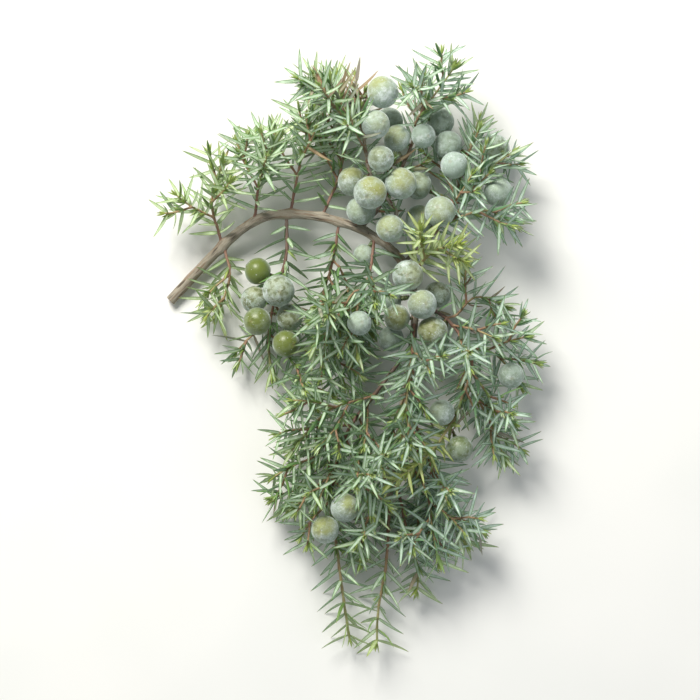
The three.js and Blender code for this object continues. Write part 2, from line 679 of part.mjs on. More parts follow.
// The origin goes to the middle of the sprig's outline, at table height.
const outline = new THREE.Box3().setFromObject(sprig);
const centre = outline.getCenter(new THREE.Vector3());
sprig.position.set(-centre.x, -centre.y, -outline.min.z);

export default sprig;
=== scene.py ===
# A cut juniper sprig with its berries, laid on a pale table.
# Blender 4.5, metres, +Z up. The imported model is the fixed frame. Its skins are read ring by ring, and the
# needles, twigs, berries and bark are grown again on them at full detail.
import itertools
import math
import zlib

import bpy
import numpy as np
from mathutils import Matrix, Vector, noise


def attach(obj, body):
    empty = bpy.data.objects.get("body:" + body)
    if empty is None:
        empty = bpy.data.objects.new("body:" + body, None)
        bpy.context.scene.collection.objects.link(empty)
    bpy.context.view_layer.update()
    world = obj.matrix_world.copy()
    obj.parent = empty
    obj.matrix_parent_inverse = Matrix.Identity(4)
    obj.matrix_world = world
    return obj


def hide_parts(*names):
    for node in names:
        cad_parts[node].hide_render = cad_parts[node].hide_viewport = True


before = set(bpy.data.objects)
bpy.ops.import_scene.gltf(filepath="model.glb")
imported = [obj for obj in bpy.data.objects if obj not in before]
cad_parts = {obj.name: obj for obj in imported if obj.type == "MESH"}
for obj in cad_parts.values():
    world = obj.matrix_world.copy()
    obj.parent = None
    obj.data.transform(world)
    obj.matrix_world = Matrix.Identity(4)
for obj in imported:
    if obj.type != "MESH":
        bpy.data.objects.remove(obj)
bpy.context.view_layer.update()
mm = 0.001
above = np.array([0, 0, 1.0])


def seededFor(name):
    return np.random.default_rng(zlib.crc32(name.encode()))  # the same sprig on every run


def unit(v):
    return v / np.maximum(np.linalg.norm(v, axis=-1, keepdims=True), 1e-12)


def smoothStep(low, high, x):
    s = np.clip((np.asarray(x, float) - low) / (high - low), 0, 1)
    return s * s * (3 - 2 * s)


def turns(sides):
    return np.arange(sides) * 2 * math.pi / sides


# Reading a skin of the frame: its corners in millimetres, its faces and which corners touch.
def readSkin(node):
    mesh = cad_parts[node].data
    places = np.empty(len(mesh.vertices) * 3)
    mesh.vertices.foreach_get("co", places)
    points, corner = np.unique(np.round(places.reshape(-1, 3) / mm, 3), axis=0, return_inverse=True)
    corner = corner.ravel()
    faces, near = set(), [set() for _ in points]
    for polygon in mesh.polygons:
        face = frozenset(int(corner[v]) for v in polygon.vertices)
        faces.add(face)
        for v in face:
            near[v] |= face - {v}
    return points, faces, near


tipSharpness = 0.85  # how alike the ways from a needle's tip to its base are, 1 for the same


# A needle's tip touches four corners, all the same way off. A foot or a bud touches three.
def findTips(points, near):
    tips = {}
    for v, around in enumerate(near):
        if len(around) == 4:
            ways = unit(points[sorted(around)] - points[v])
            if np.linalg.norm(ways.mean(0)) > tipSharpness:
                tips[v] = around
    return tips


def nextRings(ahead, faces, near):
    for three in itertools.combinations(sorted(ahead), 3):
        touching = all(b in near[a] for a, b in itertools.combinations(three, 2))
        if touching and frozenset(three) not in faces:  # three in a ring have no face between them
            yield set(three)


# One twig from its first ring to its bud, with its needles, and after it the side twigs it carries.
def walkTwig(skin, tips, first, foot, done):
    points, faces, near = skin
    rings = [first]
    while True:
        done |= rings[-1]
        ahead = set().union(*(near[v] for v in rings[-1])) - done - set(tips)
        onward = [r for r in nextRings(ahead, faces, near) if all(near[v] & r for v in rings[-1])]
        if not onward:
            break
        rings.append(onward[0])
    bud = next(v for v in ahead if rings[-1] <= near[v])
    done.add(bud)
    middles = np.array([points[sorted(r)].mean(0) for r in rings])
    girth = [np.linalg.norm(points[sorted(r)] - m, axis=1).mean() for r, m in zip(rings, middles)]
    twig = {"foot": foot if foot is not None else middles[0], "middles": middles, "girth": np.array(girth),
            "bud": points[bud], "needles": [], "corner": points[min(rings[0])] - middles[0]}
    owner = {v: k for k, r in enumerate(rings) for v in r}
    for tip, base in tips.items():
        if base <= owner.keys():
            k = min(owner[v] for v in base)
            twig["needles"].append((k, points[sorted(base)].mean(0), points[tip]))
    twigs = [twig]
    for low, high in zip(rings[1::2], rings[2::2]):
        beside = set().union(*(near[v] for v in low | high)) - done - set(tips)
        for ring in nextRings(beside, faces, near):
            if ring & set().union(*(near[v] for v in low)):
                middle = points[sorted(low | high)].mean(0)
                twigs += walkTwig(skin, tips, ring, middle, done)
                break
    return twigs


def readShoot(node):
    skin = points, faces, near = readSkin(node)
    tips = findTips(points, near)
    ends = [v for v, around in enumerate(near) if len(around) == 3]
    foot = min(ends, key=lambda v: np.linalg.norm(points[sorted(near[v])].mean(0) - points[v]))
    return walkTwig(skin, tips, near[foot], None, {foot})


shootNames = sorted(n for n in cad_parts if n.startswith(("shoot_", "twig_")))
berryNames = sorted(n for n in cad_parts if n.startswith("berry_"))
growth = {name: readShoot(name) for name in shootNames}
count = sum(len(t["needles"]) for twigs in growth.values() for t in twigs)
print("read", len(growth), "shoots,", sum(map(len, growth.values())), "twigs,", count, "needles")

crispEdge = 52  # degrees, where shading breaks


# Parts of a piece are (points in mm, faces, finish number, {attribute: values}), joined into one mesh here.
def buildPiece(name, parts, finishes, node):
    counts = np.cumsum([0] + [len(p[0]) for p in parts])
    points = np.concatenate([p[0] for p in parts]) * mm
    faces = [[v + start for v in f] for (_, part, _, _), start in zip(parts, counts) for f in part]
    mesh = bpy.data.meshes.new(name)
    mesh.from_pydata(points.tolist(), [], faces)
    mesh.polygons.foreach_set("material_index", np.concatenate([np.full(len(p[1]), p[2]) for p in parts]))
    for key in sorted(set().union(*(p[3] for p in parts))):
        values = [np.broadcast_to(p[3].get(key, 0.0), len(p[0])) for p in parts]
        mesh.attributes.new(key, "FLOAT", "POINT").data.foreach_set("value", np.concatenate(values))
    for finish in finishes:
        mesh.materials.append(finish)
    mesh.shade_smooth()
    mesh.set_sharp_from_angle(angle=math.radians(crispEdge))
    piece = bpy.data.objects.new(name, mesh)
    bpy.context.scene.collection.objects.link(piece)
    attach(piece, "root")
    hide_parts(node)


# Quads between neighbouring rings of one size, with a fan at an end that has a middle point.
def tubeFaces(rings, sides, footPoint=None, topPoint=None):
    faces = []
    for k in range(rings - 1):
        for i in range(sides):
            j = (i + 1) % sides
            faces.append((k * sides + i, k * sides + j, (k + 1) * sides + j, (k + 1) * sides + i))
    for i in range(sides):
        j = (i + 1) % sides
        if footPoint is not None:
            faces.append((j, i, footPoint))
        if topPoint is not None:
            faces.append(((rings - 1) * sides + i, (rings - 1) * sides + j, topPoint))
    return faces


# Juniper needles: narrow blades with a hollow upper side, a rounded keel below and a sharp point.
needleShape = {
    "width": 1.14,  # mm, of a full-grown needle
    "vary": (0.86, 1.1),  # from needle to needle
    "fullGrown": 9,  # mm; the width of a shorter needle goes with the root of its length,
    "shortest": 0.45,  # down to this share of a full-grown one
    "stations": [0, 0.05, 0.14, 0.32, 0.55, 0.76, 0.91],  # shares of the length
    "widths": [0.5, 0.72, 0.94, 1.0, 0.86, 0.6, 0.3],
    "across": [-0.5, -0.2, 0.2, 0.5, 0.19, -0.19],  # the section, in widths, upper side first
    "height": [0.05, -0.05, -0.05, 0.05, -0.23, -0.23],
    "band": [0, 1, 1, 0, 0, 0],  # where the pale band lies
    "sunk": 0.14,  # mm, from the seat into the twig
    "bend": (-0.035, 0.075),  # sag of the middle below a straight needle, in lengths
    "twigward": 0.6,  # how far the hollow side faces the twig's end,
    "skyward": 0.8,  # how far it faces up to the light,
    "astray": 0.25,  # and how far it turns at random
}


# Grows a needle from each seat to its tip, with its hollow side up.
def growNeedles(seats, tips, ups, widths, rng, marks):
    shape = needleShape
    rings, sides = len(shape["stations"]), len(shape["across"])
    way = unit(tips - seats)
    seats = seats - way * shape["sunk"]
    length = np.linalg.norm(tips - seats, axis=1)
    up = unit(ups - way * np.sum(ups * way, axis=1, keepdims=True))
    side = np.cross(way, up)
    sag = rng.uniform(*shape["bend"], len(seats)) * length
    along, scale = np.repeat(shape["stations"], sides), np.repeat(shape["widths"], sides)
    across, height = np.tile(shape["across"], rings) * scale, np.tile(shape["height"], rings) * scale
    ends = ((along, 1), (across, 0), (height, 0))  # each blade's point comes last but one, its foot last
    along, across, height = (np.append(values, [end, 0]) for values, end in ends)
    bow = 4 * along * (1 - along)
    points = (
        seats[:, None]
        + way[:, None] * (along[None] * length[:, None])[..., None]
        + side[:, None] * (across[None] * widths[:, None])[..., None]
        + up[:, None] * (height[None] * widths[:, None] - bow[None] * sag[:, None])[..., None]
    )
    size = points.shape[1]
    template = tubeFaces(rings, sides, footPoint=size - 1, topPoint=size - 2)
    faces = [tuple(v + n * size for v in f) for n in range(len(seats)) for f in template]
    marks = {key: np.repeat(np.broadcast_to(value, len(seats)), size) for key, value in marks.items()}
    marks["along"] = np.tile(along, len(seats))
    marks["band"] = np.tile(np.append(np.tile(shape["band"], rings), [0, 0]).astype(float), len(seats))
    return points.reshape(-1, 3), faces, 0, marks


# Twigs: slender, with three low ridges that run down from the needles of each whorl.
twigShape = {
    "sides": 12,
    "girth": 0.78,  # share of the frame's corner radius, since the frame's twig is three-sided
    "ridge": 0.1,  # how far the ridges stand out, as a share of the radius,
    "ridgeUnder": 1.6,  # times that just under a whorl,
    "ridgeOver": 0.4,  # and just over it
    "knuckle": 0.16,  # swelling under each whorl
    "shoulder": 1.03,  # thickness over it
    "waist": (0.45, 0.97),  # place between two whorls, and thickness there
    "shortGap": 1.0,  # mm; whorls this near have no waist between them
    "root": 0.85,  # mm, from the foot into the parent
    "collar": 0.55,  # flare where it joins its parent
    "neck": (0.35, 0.55),  # share of the root, and share of the flare there
    "tip": (0.45, 0.85),  # place between the last whorl and the bud, and thickness there
    "point": 0.35,  # mm, beyond the tip
    "ageing": 42,  # mm; the skin goes from green to grey over this length
}


def sweepTwig(twig, oldest):
    shape = twigShape
    middles, girth, bud = twig["middles"], twig["girth"] * shape["girth"], twig["bud"]
    way = unit(middles[1] - middles[0])
    collar, (neck, flare) = shape["collar"], shape["neck"]
    stations = [(middles[0] - way * shape["root"], girth[0] * (1 + collar), 0, 0)]
    stations.append((middles[0] - way * shape["root"] * neck, girth[0] * (1 + collar * flare), 0, 0))
    for k, (middle, r) in enumerate(zip(middles, girth)):
        if k % 2:  # the lower ring of a whorl: ridges change over between the whorls
            below, whorl = middles[k - 1], (k - 1) // 2
            place, thickness = shape["waist"]
            if np.linalg.norm(middle - below) > shape["shortGap"]:
                stations.append((below + (middle - below) * place, r * thickness, whorl, shape["ridge"]))
            stations.append((middle, r * (1 + shape["knuckle"]), whorl, shape["ridge"] * shape["ridgeUnder"]))
        else:
            stations.append((middle, r * shape["shoulder"], k // 2, shape["ridge"] * shape["ridgeOver"]))
    place, thickness = shape["tip"]
    tip = middles[-1] + (bud - middles[-1]) * place
    stations.append((tip, girth[-1] * thickness, 0, 0))
    sides, side = shape["sides"], twig["corner"]
    turn = turns(sides)
    length = np.linalg.norm(np.diff(middles, axis=0), axis=1).sum()
    youngest = max(0.0, oldest - length / shape["ageing"])
    lengths = np.cumsum([0] + [np.linalg.norm(b[0] - a[0]) for a, b in itertools.pairwise(stations)])
    rings, ages = [], []
    for n, (middle, r, whorl, ridge) in enumerate(stations):
        ahead = stations[min(n + 1, len(stations) - 1)][0] - stations[max(n - 1, 0)][0]
        direction = unit(ahead)
        side = unit(side - direction * np.dot(side, direction))
        across = np.cross(direction, side)
        radius = r * (1 + ridge * np.cos(3 * (turn - math.pi / 3 * (1 + whorl))))
        rings.append(middle + np.outer(radius * np.cos(turn), side) + np.outer(radius * np.sin(turn), across))
        ages.append(np.full(sides, oldest + (youngest - oldest) * lengths[n] / lengths[-1]))
    points = np.concatenate(rings + [stations[0][0][None], (tip + direction * shape["point"])[None]])
    ages = np.concatenate(ages + [[oldest], [youngest]])
    return points, tubeFaces(len(stations), sides, len(points) - 2, len(points) - 1), 1, {"age": ages}


# How each shoot looks: blue is how waxy and blue-green its needles are, young how fresh, dry how many have
# died, and scurf how grey its own twig is.
shootLooks = {
    "shoot_young_bright": {"young": 1.0, "blue": 0.0},
    "shoot_young_tuft": {"young": 0.68, "blue": 0.1},
    "shoot_glaucous": {"blue": 0.25},
    "shoot_top_left": {"young": 0.25},
    "shoot_low_left": {"young": 0.3, "dry": 0.02},
    "twig_green_berries": {"dry": 0.03},
    "twig_right_red": {"dry": 0.035},
    "twig_berry_left": {"dry": 0.06, "scurf": 1.0},
    "twig_berry_middle": {"dry": 0.04, "scurf": 0.6},
    "twig_berry_right": {"scurf": 0.4},
    "shoot_leader": {"young": 0.15},
}
usualLook = {"blue": 0.0, "young": 0.0, "dry": 0.01, "scurf": 0.1}
foliage = {
    "dryPlaces": [((2.1, 71), 6.5, 0.7), ((16, 52.5), 5, 0.45)],  # X and Y in mm, reach, share that is dry
    "greenWest": (-34, 0.1),  # X in mm, and how blue the needles are there and beyond,
    "blueEast": (38, 0.85),  # and the same at the other side
    "freshEnd": (0.72, 0.55),  # from this share of a twig on, needles get up to this much younger
    "youngShoot": 0.5,
    "twigAges": {"twig": 1.0, "shoot": 0.7, "side": 0.45},  # at the foot,
    "greenTwig": 0.75,  # and how much younger that is where the needles are young
    "sideScurf": 0.3,  # side twigs have this share of the scurf
}

# Tufts: in some axils a bud has opened into a few small needles.
tuftShape = {
    "share": 0.22,  # of the needles have one
    "from": 0.08,  # share of the twig below which there is none
    "besideNeedle": 4,  # mm, the shortest needle that has one
    "needles": 4,
    "seat": 0.25,  # mm, above the needle's own
    "needleward": 0.75,  # how far it leans along the needle
    "length": (2.2, 4.2),  # mm
    "lean": (8, 38),  # degrees off the bud's axis
    "width": 0.72,  # mm
    "younger": (0.1, 0.6),  # than the needle beside it
}

# The bud at a twig's end: a few small needles closed round it.
budShape = {
    "needles": 5,
    "apart": 2.4,  # radians, from one to the next round the bud
    "seat": 0.3,  # place between the last whorl and the bud
    "off": 0.12,  # mm, off the twig's axis
    "length": (1.9, 3.0),  # mm
    "lean": (8, 24),  # degrees off the twig's axis
    "width": 0.62,  # mm
    "younger": 0.7,  # than its shoot
}


def openTufts(budding, seats, way, up, blue, young, rng):
    many = tuftShape["needles"]
    side = np.repeat(np.cross(way, up)[budding], many, axis=0)
    seat = np.repeat((seats + up * tuftShape["seat"])[budding], many, axis=0)
    turn = rng.uniform(0, 2 * math.pi, len(seat))[:, None]
    lean = np.radians(rng.uniform(*tuftShape["lean"], len(seat)))[:, None]
    axis = unit(np.repeat((tuftShape["needleward"] * way + up)[budding], many, axis=0))
    out = side * np.cos(turn) + np.cross(axis, side) * np.sin(turn)
    length = rng.uniform(*tuftShape["length"], len(seat))[:, None]
    tip = seat + (axis * np.cos(lean) + out * np.sin(lean)) * length
    marks = {"tint": rng.random(len(seat)), "blue": np.repeat(blue[budding], many), "dry": 0.0}
    younger = rng.uniform(*tuftShape["younger"], len(seat))
    marks["young"] = np.clip(np.repeat(young[budding], many) + younger, 0, 1)
    return growNeedles(seat, tip, -out, np.full(len(seat), tuftShape["width"]), rng, marks)


def closedBud(twig, look, rng):
    shape, many, last = budShape, budShape["needles"], twig["middles"][-1]
    way = unit(twig["bud"] - last)
    side = unit(np.cross(way, [0.3, 0.5, 0.8]))
    across = np.cross(way, side)
    turn = rng.uniform(0, 1) + np.arange(many) * shape["apart"]
    length = rng.uniform(*shape["length"], many)
    lean = np.radians(rng.uniform(*shape["lean"], many))
    out = np.outer(np.cos(turn), side) + np.outer(np.sin(turn), across)
    seat = last + (twig["bud"] - last) * shape["seat"] + out * shape["off"]
    tip = seat + (way * np.cos(lean)[:, None] + out * np.sin(lean)[:, None]) * length[:, None]
    young = np.clip(look["young"] + shape["younger"], 0, 1)
    marks = {"tint": rng.random(many), "blue": look["blue"], "young": young, "dry": 0.0}
    return growNeedles(seat, tip, -out, np.full(many, shape["width"]), rng, marks)


def twigNeedles(twig, look, rng):
    middles, shape = twig["middles"], needleShape
    rings, seats, tips = (np.array(values) for values in zip(*twig["needles"]))
    many, share, length = len(tips), rings / len(middles), np.linalg.norm(tips - seats, axis=1)
    onward = unit(middles[np.minimum(rings + 2, len(middles) - 1)] - middles[np.maximum(rings - 1, 0)])
    ups = shape["twigward"] * onward + shape["skyward"] * above
    ups = ups + rng.normal(0, shape["astray"], ups.shape)
    grown = np.clip(length / shape["fullGrown"], shape["shortest"], 1) ** 0.5
    widths = shape["width"] * grown * rng.uniform(*shape["vary"], many)
    chance = look["dry"] * (1.6 - share)  # the oldest needles die first
    for place, reach, most in foliage["dryPlaces"]:
        chance = np.maximum(chance, most * (np.linalg.norm(seats[:, :2] - place, axis=1) < reach))
    dry = (rng.random(many) < chance) * rng.uniform(0.6, 1, many)
    start, younger = foliage["freshEnd"]
    young = look["young"] + younger * smoothStep(start, 1.0, share) + rng.normal(0, 0.06, many)
    young = np.clip(young, 0, 1)
    (west, least), (east, most) = foliage["greenWest"], foliage["blueEast"]
    blue = look["blue"] + least + (most - least) * smoothStep(west, east, seats[:, 0])
    blue = np.clip(blue + rng.normal(0, 0.12, many), 0, 1)
    marks = {"tint": rng.random(many), "blue": blue, "young": young, "dry": dry}
    parts = [growNeedles(seats, tips, ups, widths, rng, marks)]
    budding = (rng.random(many) < tuftShape["share"]) & (share > tuftShape["from"])
    budding = np.flatnonzero(budding & (length > tuftShape["besideNeedle"]))
    if len(budding):
        parts.append(openTufts(budding, seats, unit(tips - seats), onward, blue, young, rng))
    return [*parts, closedBud(twig, look, rng)]


def leafyShoot(name, finishes):
    rng, look, parts = seededFor(name), usualLook | shootLooks.get(name, {}), []
    for order, twig in enumerate(growth[name]):
        oldest = foliage["twigAges"]["side" if order else name.split("_")[0]]
        parts.append(sweepTwig(twig, oldest * (1 - foliage["greenTwig"] * look["young"])))
        parts[-1][3]["scurf"] = look["scurf"] * (foliage["sideScurf"] if order else 1.0)
        if twig["needles"]:
            parts += twigNeedles(twig, look, rng)
    buildPiece(name + "_leafy", parts, finishes, name)


# Berries: the frame gives each one's stalk foot, axis, radius and middle.
def readBerry(node):
    points, _, near = readSkin(node)
    poles = sorted((v for v in range(len(points)) if len(near[v]) == 9),
                   key=lambda v: np.linalg.norm(points[sorted(near[v])] - points[v], axis=1).mean())
    foot, top = points[poles[0]], points[poles[-1]]
    axis = unit(top - foot)
    off = points - foot
    radius = np.linalg.norm(off - np.outer(off @ axis, axis), axis=1).max()
    return foot, axis, radius, top - axis * 0.96 * radius  # its top is 4 % flat


berryShape = {
    "sides": 48,
    "rings": 30,
    "flatten": 0.035,  # how far the poles are pulled in, as a share of the radius
    "lumps": 0.014,  # unevenness, as a share of the radius,
    "lumpScale": 1.7,  # and how many lumps to a radius
    "seam": 0.03,  # depth of the three-armed seam at the top
    "seamReach": 0.34,  # radians from the top
    "lips": 0.045,  # height of the three little points beside it
    "lipPlace": (0.24, 0.11),  # radians from the top, and their width
    "dimple": (0.05, 0.3),  # depth where the stalk enters, and its reach in radians
    "lampWay": (-0.1, 0.35, 1.0),  # the side facing up to the lamp and the camera, painted buff as light
    "lampAstray": 0.3,
    "stalk": 0.36,  # mm, radius
    "stalkSides": 10,
    "scale": 1.05,  # mm, length of the scales on the stalk
    "scaleWidth": 0.75,
    "scaleGap": 0.75,  # mm, from whorl to whorl
    "scaleLean": (14, 34),  # degrees off the stalk
    "lastLean": 20,  # degrees more under the berry
}

# For each berry: how green and bare its skin is, how buff its skin and the painted light on its lit side are,
# and how much bloom has rubbed off.
berryLooks = {
    1: (0.08, 0.8, 0.2), 2: (0.05, 0.35, 0.25), 3: (0.1, 0.55, 0.2), 4: (0.05, 0.05, 0.2),
    5: (0.08, 0.05, 0.4), 6: (0.1, 0.1, 0.35), 7: (0.15, 0.5, 0.45), 8: (0.12, 0.85, 0.25),
    9: (0.2, 1.0, 0.25), 10: (0.25, 0.95, 0.3), 11: (0.1, 0.2, 0.3), 12: (0.12, 0.7, 0.25),
    13: (0.1, 0.5, 0.3), 14: (0.1, 0.55, 0.25), 15: (0.1, 0.5, 0.6), 16: (0.12, 0.5, 0.4),
    17: (0.0, 0.05, 0.35), 18: (0.4, 0.85, 0.4), 19: (0.4, 0.85, 0.45), 20: (0.05, 0.1, 0.4),
    21: (0.15, 0.4, 0.75), 22: (0.2, 0.9, 0.1), 23: (0.2, 0.85, 0.2), 24: (0.3, 0.3, 0.3),
    25: (0.55, 0.2, 0.5), 26: (0.95, 0.3, 0.5), 27: (0.15, 0.5, 0.75), 28: (0.25, 0.6, 0.8),
    29: (0.15, 0.5, 0.75), 30: (0.9, 0.5, 0.5), 31: (0.9, 0.6, 0.5), 32: (0.1, 0.1, 0.3),
    33: (0.0, 0.0, 0.15), 34: (0.15, 0.35, 0.4), 35: (0.0, 0.1, 0.3), 36: (0.3, 0.15, 0.6),
    37: (0.0, 0.1, 0.2), 38: (0.0, 0.3, 0.5), 39: (0.2, 0.1, 0.25),
}


def berryBody(centre, axis, radius, rng):
    shape = berryShape
    side = unit(np.cross(axis, [0.31, 0.87, 0.2]))
    across = np.cross(axis, side)
    polar = np.linspace(0, math.pi, shape["rings"] + 2)[1:-1]
    p, t = (a.ravel() for a in np.meshgrid(polar, turns(shape["sides"]), indexing="ij"))
    p, t = np.append(p, [0, math.pi]), np.append(t, [0, 0])  # 0 is at the stalk
    arms = rng.uniform(0, 2 * math.pi)
    fromTop = math.pi - p
    apex = np.exp(-((fromTop / shape["seamReach"]) ** 2))
    groove = np.maximum(0, np.cos(3 * (t - arms))) ** 6
    lipFrom, lipWidth = shape["lipPlace"]
    lips = np.maximum(0, -np.cos(3 * (t - arms))) ** 3 * np.exp(-(((fromTop - lipFrom) / lipWidth) ** 2))
    r = 1 - shape["flatten"] * np.cos(p) ** 2 - shape["seam"] * apex * (0.35 + 0.65 * groove)
    dimple, reach = shape["dimple"]
    r = r + shape["lips"] * lips - dimple * np.exp(-((p / reach) ** 2))
    away = np.outer(np.sin(p) * np.cos(t), side) + np.outer(np.sin(p) * np.sin(t), across)
    away = away - np.outer(np.cos(p), axis)
    start = Vector(rng.uniform(0, 90, 3))
    lumps = np.array([noise.noise(Vector(a) * shape["lumpScale"] + start) for a in away])
    points = centre + away * (radius * (r + shape["lumps"] * lumps))[:, None]
    faces = tubeFaces(shape["rings"], shape["sides"], len(points) - 2, len(points) - 1)
    # painted light: how far each point faces up to the lamp and the camera, for the buff lit side and the
    # pale rims
    towardLamp = unit(np.array(shape["lampWay"]) + rng.normal(0, shape["lampAstray"], 3))
    litShare = smoothStep(0.15, 0.95, away @ towardLamp + 0.25 * lumps)
    return points, faces, 0, {"polar": p / math.pi, "litShare": litShare}


# A berry's stalk is short and covered in small pointed scales, three to a whorl.
def berryStalk(foot, axis, centre, radius, rng):
    shape, r, sides = berryShape, berryShape["stalk"], berryShape["stalkSides"]
    end = np.linalg.norm(centre - foot) - radius * 0.9
    heights = np.array([-0.75, -0.35, 0.1, end * 0.5, end * 0.85, end])  # mm from the foot
    sizes = np.array([1.45, 1.2, 1.0, 0.95, 1.1, 1.35]) * r
    side = unit(np.cross(axis, [0.2, 0.4, 0.9]))
    across = np.cross(axis, side)
    ring = np.outer(np.cos(turns(sides)), side) + np.outer(np.sin(turns(sides)), across)
    points = [foot + axis * h + ring * s for h, s in zip(heights, sizes)]
    points = np.concatenate(points + [(foot + axis * heights[0])[None], (foot + axis * (end + 0.1))[None]])
    stalk = (points, tubeFaces(len(heights), sides, len(points) - 2, len(points) - 1), 1, {"age": 0.6})
    seats, tips, ups = [], [], []
    whorls = max(2, int(end / shape["scaleGap"]) + 1)
    for w in range(whorls):
        height = 0.05 + (end - 0.35) * w / (whorls - 1)
        for i in range(3):
            angle = w * math.pi / 3 + i * 2 * math.pi / 3 + rng.normal(0, 0.1)
            out = side * math.cos(angle) + across * math.sin(angle)
            lean = rng.uniform(*shape["scaleLean"]) + (shape["lastLean"] if w == whorls - 1 else 0)
            lean = math.radians(lean)
            seat = foot + axis * height + out * r * 0.85
            length = shape["scale"] * rng.uniform(0.8, 1.2)
            seats.append(seat)
            tips.append(seat + (axis * math.cos(lean) + out * math.sin(lean)) * length)
            ups.append(-out)
    marks = {"tint": rng.random(len(seats)), "dry": 0.35, "young": 0.1, "blue": 0.3}
    seats, tips, ups = np.array(seats), np.array(tips), np.array(ups)
    widths = np.full(len(seats), shape["scaleWidth"])
    points, faces, _, marks = growNeedles(seats, tips, ups, widths, rng, marks)
    return stalk, (points, faces, 2, marks)


def ripeBerry(name, finishes):
    rng = seededFor(name)
    foot, axis, radius, centre = readBerry(name)
    number = int(name[-2:])
    body = berryBody(centre, axis, radius, rng)
    for key, value in zip(("olive", "warm", "mottle"), berryLooks[number]):
        body[3][key] = float(np.clip(value + rng.normal(0, 0.04), 0, 1))
    body[3]["tint"] = float(rng.random())
    parts = [body, *berryStalk(foot, axis, centre, radius, rng)]
    buildPiece(name + "_ripe", parts, finishes, name)


# The woody stem: fibrous bark with long furrows, knots under its shoots and strips that peel.
stemShape = {
    "sides": 40,
    "step": 0.5,  # mm, between rings
    "girth": 0.97,  # share of the frame's radius, before the furrows
    "furrow": 0.13,  # mm, depth of the furrows
    "grain": 2.6,  # mm, radius of the round that the bark's fibres are drawn on,
    "drawnOut": 0.16,  # and how much shorter they are drawn than they run
    "broadGrain": 1.1,  # the same for the broad furrows
    "broadDrawnOut": 0.3,
    "knot": 0.42,  # mm, swelling where a shoot leaves,
    "knotReach": (3.2, 1.7),  # mm, from the shoot's foot to the stem's middle, and along the stem
    "cut": [(0.1, 0.05), (0.42, -0.04), (0.72, 0.03)],  # rings on the cut face: share inwards, mm outwards
    "cutRadii": [0.28, 0.58, 0.9, 1.0, 0],  # their places in the wood, inmost first, then the pith
    "strips": 26,
    "stripLength": (3.5, 11),  # mm
    "stripWidth": (0.35, 0.8),
    "stripLift": (0.1, 0.6),
    "stripRings": 9,
}


def readStem():
    points, _, near = readSkin("stem")
    poles = [v for v, around in enumerate(near) if len(around) == 8]
    first = min(poles, key=lambda v: points[v][0])
    done, layer, middles, radii = {first}, near[first], [], []
    while len(layer) >= 8:
        ring = points[sorted(layer)]
        middles.append(ring.mean(0))
        radii.append(np.linalg.norm(ring - ring.mean(0), axis=1).mean())
        done |= layer
        layer = set().union(*(near[v] for v in layer)) - done
    return np.array(middles), np.array(radii)


# A smooth line through the points, in steps of one length, and the values along it.
def smoothLine(points, values, step):
    lengths = np.cumsum([0, *np.linalg.norm(np.diff(points, axis=0), axis=1)])
    at = np.linspace(0, lengths[-1], int(lengths[-1] / step) + 1)
    padded = np.vstack([2 * points[0] - points[1], points, 2 * points[-1] - points[-2]])
    k = np.clip(np.searchsorted(lengths, at, side="right") - 1, 0, len(points) - 2)
    t = ((at - lengths[k]) / (lengths[k + 1] - lengths[k]))[:, None]
    a, b, c, d = (padded[k + i] for i in range(4))
    line = 0.5 * (2 * b + (c - a) * t + (2 * a - 5 * b + 4 * c - d) * t**2 + (3 * b - a - 3 * c + d) * t**3)
    return line, np.interp(at, lengths, values), at


def carryFrames(line):
    way = unit(np.gradient(line, axis=0))
    side = unit(np.cross(way[0], above))
    sides = []
    for direction in way:
        side = unit(side - direction * np.dot(side, direction))
        sides.append(side)
    sides = np.array(sides)
    return way, sides, np.cross(way, sides)


def stemRise(line, at, turn, out):
    shape = stemShape
    rise = np.zeros((len(line), len(turn)))
    reach, spread = shape["knotReach"]
    for twigs in growth.values():
        foot = twigs[0]["foot"]
        gaps = np.linalg.norm(line - foot, axis=1)
        k = int(gaps.argmin())
        if gaps[k] < reach:
            facing = np.clip(out @ unit(foot - line[k]), 0, 1) ** 2
            rise += shape["knot"] * (np.exp(-(((at - at[k]) / spread) ** 2))[:, None] * facing)
    fine, broad = shape["grain"], shape["broadGrain"]
    for n in range(len(line)):
        for i, angle in enumerate(turn):
            p = Vector((fine * math.cos(angle), fine * math.sin(angle), at[n] * shape["drawnOut"]))
            q = (broad * math.cos(angle), broad * math.sin(angle), at[n] * shape["broadDrawnOut"] + 40)
            rise[n, i] += shape["furrow"] * (noise.noise(p * 1.6) + 0.9 * noise.noise(Vector(q)))
    return rise


